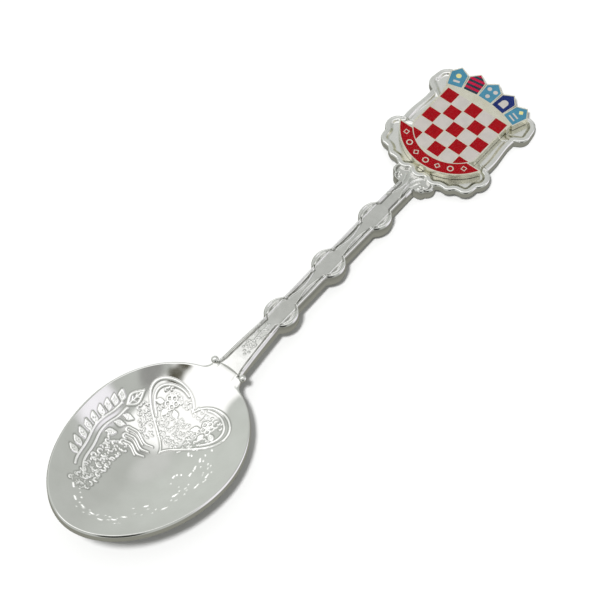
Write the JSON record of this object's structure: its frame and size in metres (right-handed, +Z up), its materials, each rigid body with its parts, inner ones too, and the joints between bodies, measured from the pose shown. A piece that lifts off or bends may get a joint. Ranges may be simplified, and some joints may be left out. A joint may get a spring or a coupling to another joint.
{
  "type": "souvenir spoon",
  "caption": "Small silver-plated souvenir spoon: embossed oval bowl, strapwork stem and a scrolled cartouche finial with an enamelled chequered shield badge.",
  "frame": {"origin": "on the table under the centre of the bounding box, with the spoon lying on the belly of its bowl and the far end of its cartouche", "axes": "+X across the spoon, +Y along it from the bowl's tip towards the finial, +Z up from the table"},
  "size_m": [0.029, 0.1164, 0.0114],
  "materials": {
    "silver_plate_bowl": "bright silver plate over pressed metal, polished, with fine handling scratches",
    "silver_plate_handle": "bright silver plate over a cast alloy, slightly soft-edged relief",
    "solder": "dull grey solder film",
    "adhesive": "cured clear amber adhesive",
    "pale_gold_plate": "bright pale gold plate",
    "red_enamel": "glossy soft enamel",
    "white_enamel": "glossy soft enamel, faintly warm",
    "azure_enamel": "glossy soft enamel",
    "dark_enamel": "glossy soft enamel",
    "crimson_enamel": "glossy soft enamel",
    "navy_enamel": "glossy soft enamel",
    "gold_enamel": "glossy soft enamel",
    "clear_epoxy": "clear domed epoxy coat"
  },
  "bodies": {
    "root": {"bowl": "silver_plate_bowl", "neck_solder": "solder", "handle": "silver_plate_handle", "badge_glue": "adhesive", "badge_plate": "pale_gold_plate", "enamel_red_checks": "red_enamel", "enamel_white_checks": "white_enamel", "enamel_red_ribbon": "red_enamel", "enamel_plaque_azure_left": "azure_enamel", "enamel_plaque_dark_stripes": "dark_enamel", "enamel_plaque_red_stripes": "crimson_enamel", "enamel_plaque_azure_middle": "azure_enamel", "enamel_plaque_navy": "navy_enamel", "enamel_plaque_azure_right": "azure_enamel", "enamel_devices_gold": "gold_enamel", "enamel_devices_white": "white_enamel", "epoxy_coat": "clear_epoxy"}
  },
  "joints": []
}
